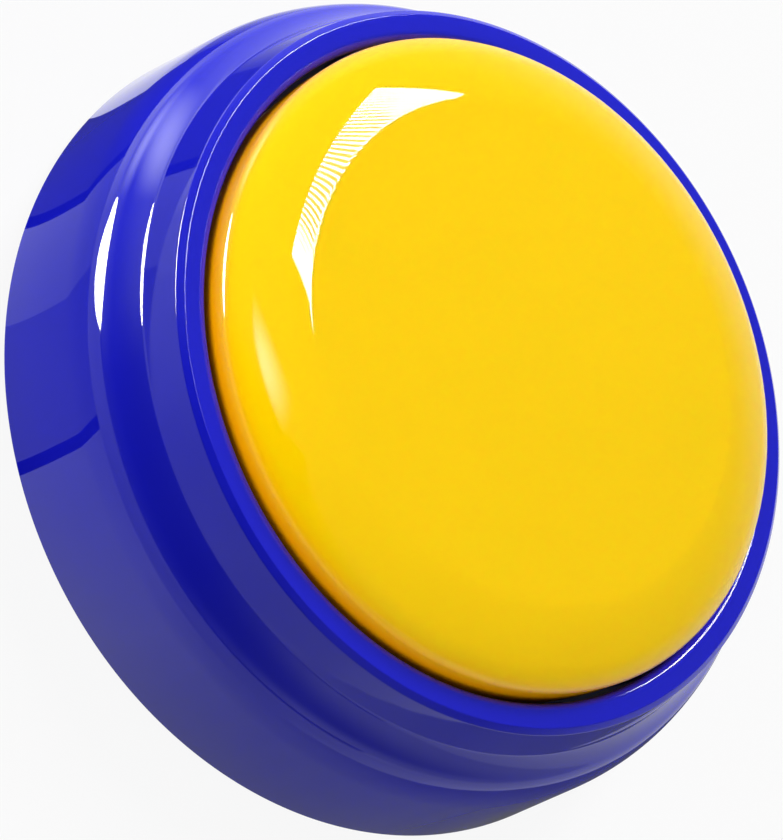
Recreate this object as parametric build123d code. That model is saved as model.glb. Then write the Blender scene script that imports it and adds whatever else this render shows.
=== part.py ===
from build123d import *
import math
import os

# Round quiz buzzer: a domed press cap in a stepped round base, sprung up against a deck inside the base.
# A plunger under the cap closes a switch on the board below the deck, and a small speaker answers
# through slots in the bottom cover. Two slim cells lie in a bay in the cover, behind a tabbed door.
# Origin: centre of the base on the surface that it stands on. +Z up, millimetres.

# Outside of the base, from the outside edge inwards and from the bottom upwards
foot_flare = 5.7            # foot's bottom edge beyond the collar, in plan
foot_stand = 1.0            # height of the shell's bottom edge over the surface
foot_wall_height = 11.1     # height of the drafted foot wall
foot_draft = 3.6            # degrees
shoulder_radius = 13.0      # large round from the foot wall into the shoulder
shoulder_angle = 24.0       # elevation of the normal where the shoulder gets tighter
brow_radius = 4.0           # tighter round at the top of the shoulder
brow_angle = 46.0           # elevation of the normal where the ledge begins
root_angle = 32.0           # elevation of the normal where the ledge meets its root fillet
root_radius = 1.6           # fillet between ledge and collar
collar_draft = 14.0         # degrees
bevel_width = 0.65          # bevel on the collar's top edge
bevel_height = 0.54
lip_round = 1.0             # round from the lip into the well
lip_height = 24.24          # lip over the shell's bottom edge
lip_width = 2.75            # flat lip with its inner round, from bevel to well
shell_wall = 2.2
boss_rib = 2.0              # thickness of the ribs that tie the screw bosses to the wall

# Press cap
cap_radius = 35.4
cap_gap = 0.5               # between the cap's skirt and the well
cap_stand = 1.3             # straight skirt that shows over the lip
cap_band = 8.4              # sloping band between the skirt and the flatter crown, in plan
cap_rim_radius = 1.6        # tight round at the top of the skirt
cap_rim_angle = 45.0        # elevation of the normal where that round ends
cap_shoulder_radius = 6.0
cap_shoulder_angle = 68.0
cap_slope_angle = 81.0      # elevation of the normal at the top of the slope
cap_break_radius = 4.0      # small round between the slope and the crown
cap_crown_angle = 86.5      # elevation of the normal at the crown's edge
cap_wall = 1.8
cap_travel = 3.0
travel_spare = 0.1          # left under the skirt when the cap is fully down
plunger_radius = 2.5
rib_thickness = 1.2
rib_reach = 13.0
rib_depth = 3.0

# Snap legs that hold the cap down against its springs
leg_count = 3
leg_first = 90.0            # degrees
leg_width = 6.0
leg_thickness = 1.6
leg_bite = 0.35             # how far a leg's root stands in the skirt's wall
hook_reach = 1.1
hook_height = 2.2
hook_land = 0.8             # upright face of the hook
leg_clearance = 0.4

# Deck inside the base
deck_thickness = 2.0
deck_gap = 0.4              # between the cell bay's roof and the deck
deck_hole_radius = 5.5
deck_ring = 1.7             # wall of the well below the lip

# Return springs and their pegs
spring_count = 4
spring_circle = 22.0
spring_radius = 2.7         # to the middle of the wire
spring_wire = 0.6
spring_turns = 5
peg_radius = 1.8
peg_height = 2.5
peg_spare = 0.5             # between upper and lower pegs when the cap is down
seat_radius = 3.8
seat_depth = 2.0            # of the spring's upper seat below the crown's inner face

# Bottom cover
cover_thickness = 2.0
cover_inset = 0.2           # cover's face over the shell's bottom edge
cover_gap = 0.4             # radial gap to the shell

# Cells and their bay
cell_radius = 5.25
cell_length = 44.5
cell_nub_radius = 1.9
cell_nub = 0.8
cell_spacing = 11.3
cell_play = 0.4             # beside the cells
cell_lift = 0.3             # under and over the cells
cell_end_play = 0.4
cell_edge = 0.4             # chamfers at the cells' ends
bay_y = -19.0
bay_wall = 1.2
contact_thickness = 0.4
contact_size = 8.0
contact_spring_length = 2.8
tab_width = 2.5

# Door of the bay
door_thickness = 1.6
door_gap = 0.25             # around the door
door_ledge = 0.8            # overlap of the door and the bay's wall
door_seat = 0.1             # gap between the door and its ledge
hinge_tab_width = 6.0
hinge_tab_x = 14.0
hinge_tab_thickness = 1.2
hinge_tab_reach = 2.5
hinge_tab_rise = 0.1
hinge_neck = 1.8            # length of the tabs' upright part
ear_width = 8.0
ear_length = 6.5
ear_wall = 2.0              # of the pad beside the ear
door_screw_reach = 3.2      # from the door's edge to its screw
door_screw_bite = 2.5       # its length over the door's upper face
pad_height = 3.0

# Screws: shank, head, head height, length under the head
screw_shank = 0.95
screw_head = 2.4
screw_head_height = 0.8
screw_recess = 0.9
screw_length = 8.0
pilot_clearance = 0.05
pilot_spare = 0.5           # depth left under the cover screws
through_clearance = 0.35
boss_radius = 2.6
cover_screw_inset = 6.5     # from the foot's bottom edge to the screws
cover_screw_angles = (20.0, 160.0, 250.0, 290.0)

# Rubber feet
pad_foot_radius = 4.0
pad_foot_recess = 0.7
pad_foot_inset = 8.0        # from the foot's bottom edge to the discs' middles
pad_foot_round = 0.5
pad_foot_play = 0.1
pad_foot_angles = (60.0, 120.0, 200.0, 340.0)

# Board and switch
board_width = 28.0
board_south = -5.5
board_north = 20.0
board_thickness = 1.6
board_round = 1.0
board_drop = 1.5            # from the deck's underside to the board's top
board_screw_x = 11.5
board_screw_south = -3.0
board_screw_north = 17.5
board_post_radius = 2.2
board_screw_shank = 0.85
board_screw_head = 2.0
board_screw_head_height = 1.0
board_screw_length = 3.6
switch_size = 6.0
switch_height = 3.5
stem_radius = 1.7
stem_proud = 0.8
stem_travel = 0.3
stem_clearance = 0.08
stem_round = 0.2
stem_spare = 0.2            # under the stem when it is down
switch_round = 0.4
switch_pin = 0.7
switch_pin_pitch = 4.5
switch_pin_height = 1.2
chip_y = 10.0               # resin blob over the sound chip
chip_radius = 3.6
chip_height = 1.1
chip_round = 0.9
can_radius = 2.0            # capacitor
can_length = 5.0
can_gap = 0.6               # between the can and the board
can_round = 0.3
can_pitch = 1.6
can_wire_radius = 0.25
can_place = (7.0, -0.5)
chip_resistor = (2.0, 1.2, 0.55)
chip_resistor_places = ((-9.5, 5.0), (-9.5, 8.0), (-9.5, 11.0), (8.0, 13.0))
plunger_gap = 2.75          # from plunger to stem at rest

# Speaker
speaker_radius = 14.0
speaker_y = 22.0
speaker_flange = 1.0
speaker_height = 4.4        # frame, from the cover to the magnet
magnet_radius = 7.5
magnet_height = 2.4
speaker_ring_gap = 0.3
speaker_ring_wall = 1.0
speaker_pilot_floor = 0.6   # left under the pilots of the speaker's screws
speaker_screw_head = 3.2
speaker_screw_length = 2.2
slot_width = 1.6
slot_pitch = 3.6
slot_field = 10.5

lead_radius = 0.55

cut = 1.0                   # how far a cutter runs past the face that it cuts
root = 0.5                  # how far joined shapes stand in each other

# Heights that follow from the sizes above
cover_bottom = foot_stand + cover_inset
cover_top = cover_bottom + cover_thickness
door_top = cover_bottom + door_thickness
cell_z = door_top + cell_lift + cell_radius
bay_ceiling = cell_z + cell_radius + cell_lift
bay_roof = bay_ceiling + bay_wall
deck_bottom = bay_roof + deck_gap
deck_top = deck_bottom + deck_thickness
board_top = deck_bottom - board_drop
board_bottom = board_top - board_thickness
lip_z = foot_stand + lip_height
skirt_top = lip_z + cap_stand
skirt_bottom = deck_top + cap_travel + travel_spare
stem_top = board_top + switch_height + stem_proud
magnet_bottom = cover_top + speaker_height

# Plan sizes that follow
well_radius = cap_radius + cap_gap
bevel_inner = well_radius + lip_width
collar_radius = bevel_inner + bevel_width
foot_radius = collar_radius + foot_flare
cover_screw_circle = foot_radius - cover_screw_inset
pad_foot_circle = foot_radius - pad_foot_inset
bay_half_x = (cell_length + contact_spring_length + 2 * contact_thickness + cell_end_play) / 2
bay_half_y = cell_spacing / 2 + cell_radius + cell_play
door_half_x = bay_half_x + door_ledge - door_gap
door_half_y = bay_half_y + door_ledge - door_gap
hinge_y = bay_y + door_half_y
ear_end = bay_y - door_half_y - ear_length
door_screw_y = bay_y - door_half_y - door_screw_reach
cell_ys = (bay_y + cell_spacing / 2, bay_y - cell_spacing / 2)


def cosd(angle):
    return math.cos(math.radians(angle))


def sind(angle):
    return math.sin(math.radians(angle))


def bend_end(start, radius, turn_from, turn_to):
    """Point where an arc ends whose outward normal turns from one elevation to another."""
    side = 1 if turn_to > turn_from else -1
    return (start[0] + side * radius * (cosd(turn_to) - cosd(turn_from)),
            start[1] + side * radius * (sind(turn_to) - sind(turn_from)))


def bend(start, radius, turn_from, turn_to):
    """Tangent arc in the section, as an edge."""
    middle = bend_end(start, radius, turn_from, (turn_from + turn_to) / 2)
    return ThreePointArc(start, middle, bend_end(start, radius, turn_from, turn_to))


def inset(point, angle, depth):
    """Point below a surface whose normal has this elevation."""
    return (point[0] - depth * cosd(angle), point[1] - depth * sind(angle))


def turned(edges):
    """Solid of revolution about Z from a closed chain of edges in radius and height."""
    return revolve(Rot(90, 0, 0) * make_face(edges), Axis.Z, 360)


def turned_outline(*points):
    return turned(Polyline(*points, close=True))


def block(x, y, z):
    """Box between pairs of limits."""
    size = (x[1] - x[0], y[1] - y[0], z[1] - z[0])
    middle = ((x[0] + x[1]) / 2, (y[0] + y[1]) / 2, (z[0] + z[1]) / 2)
    return Pos(*middle) * Box(*size)


def post(x, y, radius, z_low, z_high):
    return Pos(x, y, (z_low + z_high) / 2) * Cylinder(radius, z_high - z_low)


def polar(radius, angle):
    return radius * cosd(angle), radius * sind(angle)


def foot_outline():
    """Corner points of the base's outside, with the normal's elevation at each arc's end."""
    foot_top = (foot_radius - foot_wall_height * math.tan(math.radians(foot_draft)),
                foot_stand + foot_wall_height)
    shoulder = bend_end(foot_top, shoulder_radius, foot_draft, shoulder_angle)
    brow = bend_end(shoulder, brow_radius, shoulder_angle, brow_angle)
    collar_top = (collar_radius, lip_z - bevel_height)
    return foot_top, shoulder, brow, collar_top


def root_outline():
    """Ends of the fillet between ledge and collar: the ledge runs from the brow to its lower end."""
    brow, collar_top = foot_outline()[2:]
    ledge_angle = (brow_angle + root_angle) / 2
    # The fillet's lower end is where the ledge's chord meets the collar's slope, less the fillet itself.
    fillet = bend_end((0, 0), root_radius, root_angle, collar_draft)
    along = (-sind(ledge_angle), cosd(ledge_angle))
    rise = (-sind(collar_draft), cosd(collar_draft))
    gap = (collar_top[0] - fillet[0] - brow[0], collar_top[1] - fillet[1] - brow[1])
    # brow + s * along + fillet + t * rise = collar_top
    cross = along[0] * rise[1] - along[1] * rise[0]
    reach = (gap[0] * rise[1] - gap[1] * rise[0]) / cross
    low = (brow[0] + reach * along[0], brow[1] + reach * along[1])
    return low, (low[0] + fillet[0], low[1] + fillet[1]), reach


def place_round(count, radius, first=0.0):
    """Placements around Z, each with its X axis outwards."""
    return [Rot(0, 0, first + 360 * index / count) * Pos(radius, 0, 0) for index in range(count)]


def shell_section():
    """Section of the base: outside, lip, well, deck, and the cavity under it."""
    foot_top, shoulder, brow, collar_top = foot_outline()
    ledge_end, collar_foot, reach = root_outline()
    ledge_radius = reach / (2 * sind((brow_angle - root_angle) / 2))
    start = (foot_radius, foot_stand)
    lip_start = (bevel_inner, lip_z)
    lip_end = (well_radius + lip_round, lip_z)
    core_top = inset(ledge_end, root_angle, shell_wall)
    inside = [(well_radius, lip_z - lip_round), (well_radius, deck_top), (deck_hole_radius, deck_top),
              (deck_hole_radius, deck_bottom), (well_radius + deck_ring, deck_bottom),
              (well_radius + deck_ring, core_top[1]), core_top,
              inset(brow, brow_angle, shell_wall), inset(shoulder, shoulder_angle, shell_wall),
              inset(foot_top, foot_draft, shell_wall), (foot_radius - shell_wall, foot_stand), start]
    edges = [Line(start, foot_top), bend(foot_top, shoulder_radius, foot_draft, shoulder_angle),
             bend(shoulder, brow_radius, shoulder_angle, brow_angle),
             bend(brow, ledge_radius, brow_angle, root_angle),
             bend(ledge_end, root_radius, root_angle, collar_draft), Line(collar_foot, collar_top),
             Line(collar_top, lip_start), Line(lip_start, lip_end),
             ThreePointArc(lip_end, (well_radius + lip_round * (1 - sind(45)),
                                     lip_z - lip_round * (1 - cosd(45))), inside[0]), Polyline(*inside)]
    return make_face(Curve() + edges)


def base_shell():
    """One moulding: foot, shoulder, collar, lip and well, with the deck across the well."""
    section = shell_section()
    collar_top, lip_start = foot_outline()[3], (bevel_inner, lip_z)
    sharp = [vertex for vertex in section.vertices()
             if min(math.dist((vertex.X, vertex.Y), corner) for corner in (collar_top, lip_start)) < 0.01]
    body = revolve(Rot(90, 0, 0) * fillet(sharp, bevel_height / 2), Axis.Z, 360)
    for place in place_round(spring_count, spring_circle, 45):
        body += place * post(0, 0, peg_radius, deck_top - root, deck_top + peg_height)
    for x, y in board_screw_places():
        body += post(x, y, board_post_radius, board_top, deck_bottom + root)
        body -= post(x, y, board_screw_shank + pilot_clearance, board_top, deck_bottom + deck_thickness / 2)
    for x, y, angle in cover_screw_places():
        rib = block((0, foot_radius - shell_wall / 2 - cover_screw_circle), (-boss_rib / 2, boss_rib / 2),
                    (cover_top, foot_stand + foot_wall_height))
        body += post(x, y, boss_radius, cover_top, deck_bottom + root) + Pos(x, y, 0) * Rot(0, 0, angle) * rib
        body -= post(x, y, screw_shank + pilot_clearance, cover_top, cover_top + screw_length)
    inner = cap_radius - cap_wall + leg_bite - leg_thickness
    slot = block((inner - hook_reach - leg_clearance, cap_radius - cap_wall + leg_bite + leg_clearance),
                 (-leg_width / 2 - leg_clearance, leg_width / 2 + leg_clearance),
                 (deck_bottom - cut, deck_top + cut))
    for place in place_round(leg_count, 0, leg_first):
        body -= place * slot
    return body


def cap_outline():
    """Points where the cap's arcs meet, from the skirt to the apex, and the slope's and crown's radii."""
    skirt = (cap_radius, skirt_top)
    rim = bend_end(skirt, cap_rim_radius, 0, cap_rim_angle)
    shoulder = bend_end(rim, cap_shoulder_radius, cap_rim_angle, cap_shoulder_angle)
    crown_edge = cap_radius - cap_band
    slope_run = shoulder[0] - crown_edge - cap_break_radius * (cosd(cap_slope_angle) - cosd(cap_crown_angle))
    slope_radius = slope_run / (cosd(cap_shoulder_angle) - cosd(cap_slope_angle))
    slope = bend_end(shoulder, slope_radius, cap_shoulder_angle, cap_slope_angle)
    edge = bend_end(slope, cap_break_radius, cap_slope_angle, cap_crown_angle)
    crown_radius = crown_edge / cosd(cap_crown_angle)
    apex = bend_end(edge, crown_radius, cap_crown_angle, 90)
    return (skirt, rim, shoulder, slope, edge, apex), slope_radius, crown_radius


def cap_top():
    return cap_outline()[0][-1][1]


def spring_seat():
    return cap_top() - cap_wall - seat_depth


def cap_section(bottom):
    """Section of the cap's outside: straight skirt, rim, shoulder, slope, break and crown."""
    (skirt, rim, shoulder, slope, edge, apex), slope_radius, crown_radius = cap_outline()
    edges = [Line((0, bottom), (cap_radius, bottom)), Line((cap_radius, bottom), skirt),
             bend(skirt, cap_rim_radius, 0, cap_rim_angle),
             bend(rim, cap_shoulder_radius, cap_rim_angle, cap_shoulder_angle),
             bend(shoulder, slope_radius, cap_shoulder_angle, cap_slope_angle),
             bend(slope, cap_break_radius, cap_slope_angle, cap_crown_angle),
             bend(edge, crown_radius, cap_crown_angle, 90), Line(apex, (0, bottom))]
    return make_face(Curve() + edges)


def cap_core(depth, bottom):
    """Solid that lies this deep under the cap's outside, down to a height."""
    (skirt, rim, shoulder, slope, edge, apex), slope_radius, crown_radius = cap_outline()
    side = (skirt[0] - depth, skirt[1])
    low_edge = inset(edge, cap_crown_angle, depth)
    apex = (0, apex[1] - depth)
    outline = Polyline(apex, (0, bottom), (side[0], bottom), side, inset(shoulder, cap_shoulder_angle, depth),
                       inset(slope, cap_slope_angle, depth), low_edge)
    crown = bend(low_edge, crown_radius - depth, cap_crown_angle, 90)
    return revolve(Rot(90, 0, 0) * make_face(outline + crown), Axis.Z, 360)


def cap_leg():
    """Leg along +X that ends in an outward hook under the deck."""
    outer = cap_radius - cap_wall + leg_bite
    hook_top = deck_bottom - travel_spare
    side = Polyline((outer - leg_thickness, skirt_top), (outer, skirt_top), (outer, hook_top),
                    (outer + hook_reach, hook_top), (outer + hook_reach, hook_top - hook_land),
                    (outer, hook_top - hook_height), (outer - leg_thickness, hook_top - hook_height),
                    close=True)
    return Pos(0, leg_width / 2, 0) * extrude(Rot(90, 0, 0) * make_face(side), leg_width)


def dome_cap():
    """Yellow press cap with its plunger, ribs, spring seats, pegs and snap legs."""
    space = cap_core(cap_wall, skirt_bottom - cut)
    top = cap_top()
    inside = post(0, 0, plunger_radius, stem_top + plunger_gap, top)
    for turn in range(4):
        inside += Rot(0, 0, 90 * turn) * block((0, rib_reach), (-rib_thickness / 2, rib_thickness / 2),
                                               (top - cap_wall - rib_depth, top))
    peg_end = deck_top + peg_height + peg_spare + cap_travel
    for place in place_round(spring_count, spring_circle, 45):
        inside += place * (post(0, 0, seat_radius, spring_seat(), top) + post(0, 0, peg_radius, peg_end, top))
    body = revolve(Rot(90, 0, 0) * cap_section(skirt_bottom), Axis.Z, 360) - space
    body += inside & cap_core(cap_wall / 2, stem_top)
    for place in place_round(leg_count, 0, leg_first):
        body += place * cap_leg()
    return body


def return_springs():
    """Four coil springs between the deck and the cap's seats."""
    rise = spring_seat() - deck_top - spring_wire
    path = Helix(rise / spring_turns, rise, spring_radius)
    coil = sweep(Plane(origin=path @ 0, z_dir=path % 0) * Circle(spring_wire / 2), path, is_frenet=True)
    coil = Pos(0, 0, deck_top + spring_wire / 2) * coil
    return [place * coil for place in place_round(spring_count, spring_circle, 45)]


def cover_screw_places():
    return [(*polar(cover_screw_circle, angle), angle) for angle in cover_screw_angles]


def board_screw_places():
    return [(side * board_screw_x, y) for y in (board_screw_south, board_screw_north) for side in (-1, 1)]


def foot_places():
    return [polar(pad_foot_circle, angle) for angle in pad_foot_angles]


def hinge_tab(x, spare):
    """One tab of the door, or its cut-out in the bay's wall when spare is given."""
    half = hinge_tab_width / 2 + spare
    low = cover_top + hinge_tab_rise
    neck = block((x - half, x + half), (hinge_y - hinge_neck, hinge_y),
                 (door_top - root, low + hinge_tab_thickness))
    tongue = block((x - half, x + half), (hinge_y - hinge_neck, hinge_y + hinge_tab_reach),
                   (low, low + hinge_tab_thickness))
    return neck + tongue


def speaker_slots():
    """Sound slots, as long as their field is wide at each one."""
    cuts = []
    for step in range(-2, 3):
        offset = step * slot_pitch
        half = math.sqrt(slot_field ** 2 - offset ** 2)
        outline = SlotOverall(2 * half, slot_width)
        slot = extrude(outline, cover_thickness + 2 * cut)
        cuts.append(Pos(0, speaker_y + offset, cover_bottom - cut) * slot)
    return cuts


def bottom_cover():
    """Round cover with the cell bay, the speaker's seat, feet recesses and screw holes."""
    body = post(0, 0, foot_radius - shell_wall - cover_gap, cover_bottom, cover_top)
    wall = bay_wall
    body += block((-bay_half_x - wall, bay_half_x + wall),
                  (bay_y - bay_half_y - wall, bay_y + bay_half_y + wall), (cover_bottom, bay_roof))
    body -= block((-bay_half_x, bay_half_x), (bay_y - bay_half_y, bay_y + bay_half_y),
                  (cover_bottom - cut, bay_ceiling))
    body += block((-ear_width / 2 - ear_wall, ear_width / 2 + ear_wall),
                  (ear_end - wall, bay_y - bay_half_y - wall / 2),
                  (door_top + door_seat, cover_top + pad_height))
    opening = bay_half_x + door_ledge, bay_half_y + door_ledge
    body -= block((-opening[0], opening[0]), (bay_y - opening[1], bay_y + opening[1]),
                  (cover_bottom - cut, door_top + door_seat))
    body -= block((-ear_width / 2 - door_gap, ear_width / 2 + door_gap), (ear_end - door_gap, bay_y),
                  (cover_bottom - cut, door_top + door_seat))
    body -= post(0, door_screw_y, screw_shank + through_clearance, cover_bottom, cover_top + pad_height + cut)
    for side in (-1, 1):
        x = side * hinge_tab_x
        half = hinge_tab_width / 2 + leg_clearance
        inner = hinge_y - hinge_neck - door_gap
        body -= block((x - half, x + half), (inner, bay_y + bay_half_y + wall + cut),
                      (cover_top, cover_top + hinge_tab_rise + 2.5 * hinge_tab_thickness))
        body -= block((x - half, x + half), (inner, hinge_y + door_gap), (door_top, cover_top + cut))
    body -= positive_tab(leg_clearance / 2) + negative_tab(leg_clearance / 2)
    for x, y, angle in cover_screw_places():
        body -= post(x, y, screw_shank + through_clearance, cover_bottom - cut, cover_top + cut)
        body -= post(x, y, screw_head + through_clearance, cover_bottom - cut, cover_bottom + screw_recess)
    for x, y in foot_places():
        body -= post(x, y, pad_foot_radius + pad_foot_play, cover_bottom - cut,
                     cover_bottom + pad_foot_recess)
    ring = speaker_radius + speaker_ring_gap
    seat = post(0, speaker_y, ring + speaker_ring_wall, cover_top - root, cover_top + speaker_flange)
    for x in speaker_screw_xs():
        seat += post(x, speaker_y, board_post_radius, cover_top - root, cover_top + speaker_flange)
    body += seat - post(0, speaker_y, ring, cover_top, cover_top + speaker_flange + cut)
    for x in speaker_screw_xs():
        body -= post(x, speaker_y, board_screw_shank + pilot_clearance, cover_bottom + speaker_pilot_floor,
                     cover_top + speaker_flange + cut)
    for slot in speaker_slots():
        body -= slot
    return body


def battery_door():
    """Flat door with two tabs at its hinge edge and an ear for its screw."""
    body = block((-door_half_x, door_half_x), (bay_y - door_half_y, hinge_y), (cover_bottom, door_top))
    ear = block((-ear_width / 2, ear_width / 2), (ear_end, bay_y), (cover_bottom, door_top))
    ear = fillet(ear.edges().filter_by(Axis.Z).group_by(Axis.Y)[0], ear_width / 4)
    body += ear
    for side in (-1, 1):
        body += hinge_tab(side * hinge_tab_x, 0)
    body -= post(0, door_screw_y, screw_shank + through_clearance, cover_bottom - cut, door_top + cut)
    body -= post(0, door_screw_y, screw_head + through_clearance, cover_bottom - cut,
                 cover_bottom + screw_recess)
    return body


def screw(shank, head, head_height, length):
    """Pan-head screw pointing up from z = 0, its head below, with a cross recess."""
    head_low = -head_height
    outline = [Line((0, head_low), (head * 0.6, head_low)),
               ThreePointArc((head * 0.6, head_low), (head * 0.9, head_low * 0.72), (head, head_low * 0.3)),
               Line((head, head_low * 0.3), (head, 0)), Line((head, 0), (shank, 0)),
               Line((shank, 0), (shank, length - shank)), Line((shank, length - shank), (0, length)),
               Line((0, length), (0, head_low))]
    body = turned(Curve() + outline)
    for angle in (0, 90):
        body -= Rot(0, 0, angle) * block((-head * 0.55, head * 0.55), (-head * 0.11, head * 0.11),
                                         (head_low - cut, head_low * 0.45))
    return body


def cover_screws():
    one = screw(screw_shank, screw_head, screw_head_height, screw_length - pilot_spare)
    return [Pos(x, y, cover_bottom + screw_recess) * one for x, y, angle in cover_screw_places()]


def battery_door_screw():
    length = door_top - cover_bottom - screw_recess + door_screw_bite
    one = screw(screw_shank, screw_head, screw_head_height, length)
    return Pos(0, door_screw_y, cover_bottom + screw_recess) * one


def board_screws():
    one = screw(board_screw_shank, board_screw_head, board_screw_head_height, board_screw_length)
    return [Pos(x, y, board_bottom) * one for x, y in board_screw_places()]


def speaker_screw_xs():
    reach = speaker_radius + boss_radius + 0.2
    return -reach, reach


def speaker_screws():
    """Wide-headed screws, head up, that clamp the speaker's flange."""
    one = screw(board_screw_shank, speaker_screw_head, screw_head_height, speaker_screw_length)
    one = Rot(180, 0, 0) * one
    return [Pos(x, speaker_y, cover_top + speaker_flange) * one for x in speaker_screw_xs()]


def rubber_feet():
    """Four stick-on rubber discs in the cover's recesses, with rounded lower edges."""
    foot = post(0, 0, pad_foot_radius, 0, cover_bottom + pad_foot_recess)
    foot = fillet(foot.edges().group_by(Axis.Z)[0], pad_foot_round)
    return [Pos(x, y, 0) * foot for x, y in foot_places()]


def circuit_board():
    """Board under the deck, with holes for its screws."""
    board = block((-board_width / 2, board_width / 2), (board_south, board_north), (board_bottom, board_top))
    board = fillet(board.edges().filter_by(Axis.Z), board_round)
    for x, y in board_screw_places():
        board -= post(x, y, board_screw_shank + through_clearance, board_bottom - cut, board_top + cut)
    return board


def voice_chip():
    """Blob of black resin over the sound chip, under the board."""
    blob = post(0, chip_y, chip_radius, board_bottom - chip_height, board_bottom)
    return fillet(blob.edges().group_by(Axis.Z)[0], chip_round)


def board_capacitor():
    """Small electrolytic can hanging under the board, on two leads."""
    can = post(0, 0, can_radius, -can_gap - can_length, -can_gap)
    can = fillet(can.edges(), can_round)
    for x in (-can_pitch / 2, can_pitch / 2):
        can += post(x, 0, can_wire_radius, -can_gap - can_wire_radius, 0)
    return Pos(*can_place, board_bottom) * can


def board_resistors():
    """Chip resistors in a row on the underside."""
    one = Pos(0, 0, -chip_resistor[2] / 2) * Box(*chip_resistor)
    return [Pos(x, y, board_bottom) * one for x, y in chip_resistor_places]


def tact_switch_body():
    """Square switch housing with a metal cover, four leads and a well for the stem."""
    half = switch_size / 2
    body = block((-half, half), (-half, half), (board_top, board_top + switch_height))
    body = fillet(body.edges().filter_by(Axis.Z), switch_round)
    well_floor = board_top + switch_height - stem_proud - stem_travel - stem_spare
    body -= post(0, 0, stem_radius + stem_clearance, well_floor, stem_top)
    pin = Pos(0, 0, board_top + switch_pin_height / 2) * Box(switch_pin, switch_pin, switch_pin_height)
    for x in (-half, half):
        for y in (-switch_pin_pitch / 2, switch_pin_pitch / 2):
            body += Pos(x, y, 0) * pin
    return body


def tact_switch_stem():
    """Round stem that the plunger pushes."""
    stem = post(0, 0, stem_radius, board_top + switch_height - stem_proud, stem_top)
    return fillet(stem.edges().group_by(Axis.Z)[-1], stem_round)


def speaker_frame():
    """Pressed steel basket: flange, sloping wall with windows, and back plate."""
    low, back = cover_top, magnet_bottom
    rim = speaker_radius
    body = turned_outline((rim - 1.6, low), (rim, low), (rim, low + speaker_flange),
                          (rim - 1.0, low + speaker_flange), (9.6, back), (4.4, back), (4.4, back - 0.6),
                          (9.2, back - 0.6), (rim - 1.6, low + speaker_flange - 0.2))
    for angle in range(0, 360, 90):
        body -= Rot(0, 0, angle) * block((9.9, 12.4), (-3.5, 3.5), (low + speaker_flange + 0.3, back + 1))
    return Pos(0, speaker_y, 0) * body


def speaker_cone():
    """Paper cone with its surround, dust cap and coil former."""
    low = cover_top + 0.5
    rim = speaker_radius - 1.7
    cone = turned_outline((rim, low), (rim, low + 0.4), (rim - 1.4, low + 0.4), (4.0, low + 2.2),
                          (4.0, magnet_bottom - 0.3), (3.6, magnet_bottom - 0.3), (3.6, low + 1.9),
                          (rim - 1.4, low))
    cap = turned_outline((0, low + 0.9), (2.4, low + 1.1), (4.6, low + 1.7), (4.6, low + 2.0),
                         (2.3, low + 1.4), (0, low + 1.2))
    return Pos(0, speaker_y, 0) * (cone + cap)


def speaker_magnet():
    """Magnet with its back plate."""
    can = post(0, speaker_y, magnet_radius, magnet_bottom, magnet_bottom + magnet_height)
    return fillet(can.edges().group_by(Axis.Z)[-1], 0.4)


def speaker_terminal_strip():
    """Small insulating strip with two solder eyes, on the basket's wall."""
    low = magnet_bottom
    strip = block((-4.5, 4.5), (speaker_y - 11.6, speaker_y - 8.4), (low, low + 0.8))
    for x in (-3, 3):
        strip += block((x - 0.9, x + 0.9), (speaker_y - 12.4, speaker_y - 10.2), (low + 0.7, low + 1.1))
    return strip


def cell(y, side):
    """Round cell along X, its positive end towards +X when side is 1."""
    start = -(bay_half_x - contact_thickness - contact_spring_length)
    body_length = cell_length - cell_nub
    outline = [(0, 0), (cell_radius - 0.3, 0), (cell_radius, 0.4), (cell_radius, body_length - 0.5),
               (cell_radius - 0.4, body_length), (cell_nub_radius, body_length),
               (cell_nub_radius, cell_length), (0, cell_length)]
    body = Rot(0, 90, 0) * turned_outline(*outline)
    body = Pos(start, 0, 0) * body
    if side < 0:
        body = Rot(0, 0, 180) * body
    return Pos(0, y, cell_z) * body


def battery_cells():
    return [cell(cell_ys[0], 1), cell(cell_ys[1], -1)]


def contact_spring(x, y, side):
    """Conical spring from a contact plate to a cell's flat end."""
    wire = 0.5
    length = contact_spring_length - wire
    path = Helix(length / 3, length, 3.0, cone_angle=-18)
    coil = sweep(Plane(origin=path @ 0, z_dir=path % 0) * Circle(wire / 2), path, is_frenet=True)
    return Pos(x, y, cell_z) * Rot(0, 90 * side, 0) * Pos(0, 0, wire * 0.3) * coil


def contact_plate(x_low, y_low, y_high):
    half = contact_size / 2
    return block((x_low, x_low + contact_thickness), (y_low, y_high), (cell_z - half, cell_z + half))


def positive_tab(spare):
    """Tab of the positive contact through the bay's wall, or its slot when spare is given."""
    end = bay_half_x
    return block((end - contact_thickness - spare, end + min(spare, 0.1)),
                 (cell_ys[0], bay_y + bay_half_y + bay_wall + (1.4 if spare == 0 else 0.5)),
                 (cell_z - tab_width / 2 - spare, cell_z + tab_width / 2 + spare))


def negative_tab(spare):
    """Tab of the negative contact out through the bay's end wall, or its slot."""
    end = bay_half_x
    return block((end - contact_thickness, end + bay_wall + (1.2 if spare == 0 else 0.5)),
                 (cell_ys[1] - tab_width / 2 - spare, cell_ys[1] + tab_width / 2 + spare),
                 (cell_z - 2.6 - spare, cell_z - 2.2 + spare))


def battery_positive_contact():
    half = contact_size / 2
    plate = contact_plate(bay_half_x - contact_thickness, cell_ys[0] - half, cell_ys[0] + half)
    return plate + positive_tab(0)


def battery_negative_contact():
    half = contact_size / 2
    plate = contact_plate(bay_half_x - contact_thickness, cell_ys[1] - half, cell_ys[1] + half)
    return plate + negative_tab(0) + contact_spring(bay_half_x - contact_thickness, cell_ys[1], -1)


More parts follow.
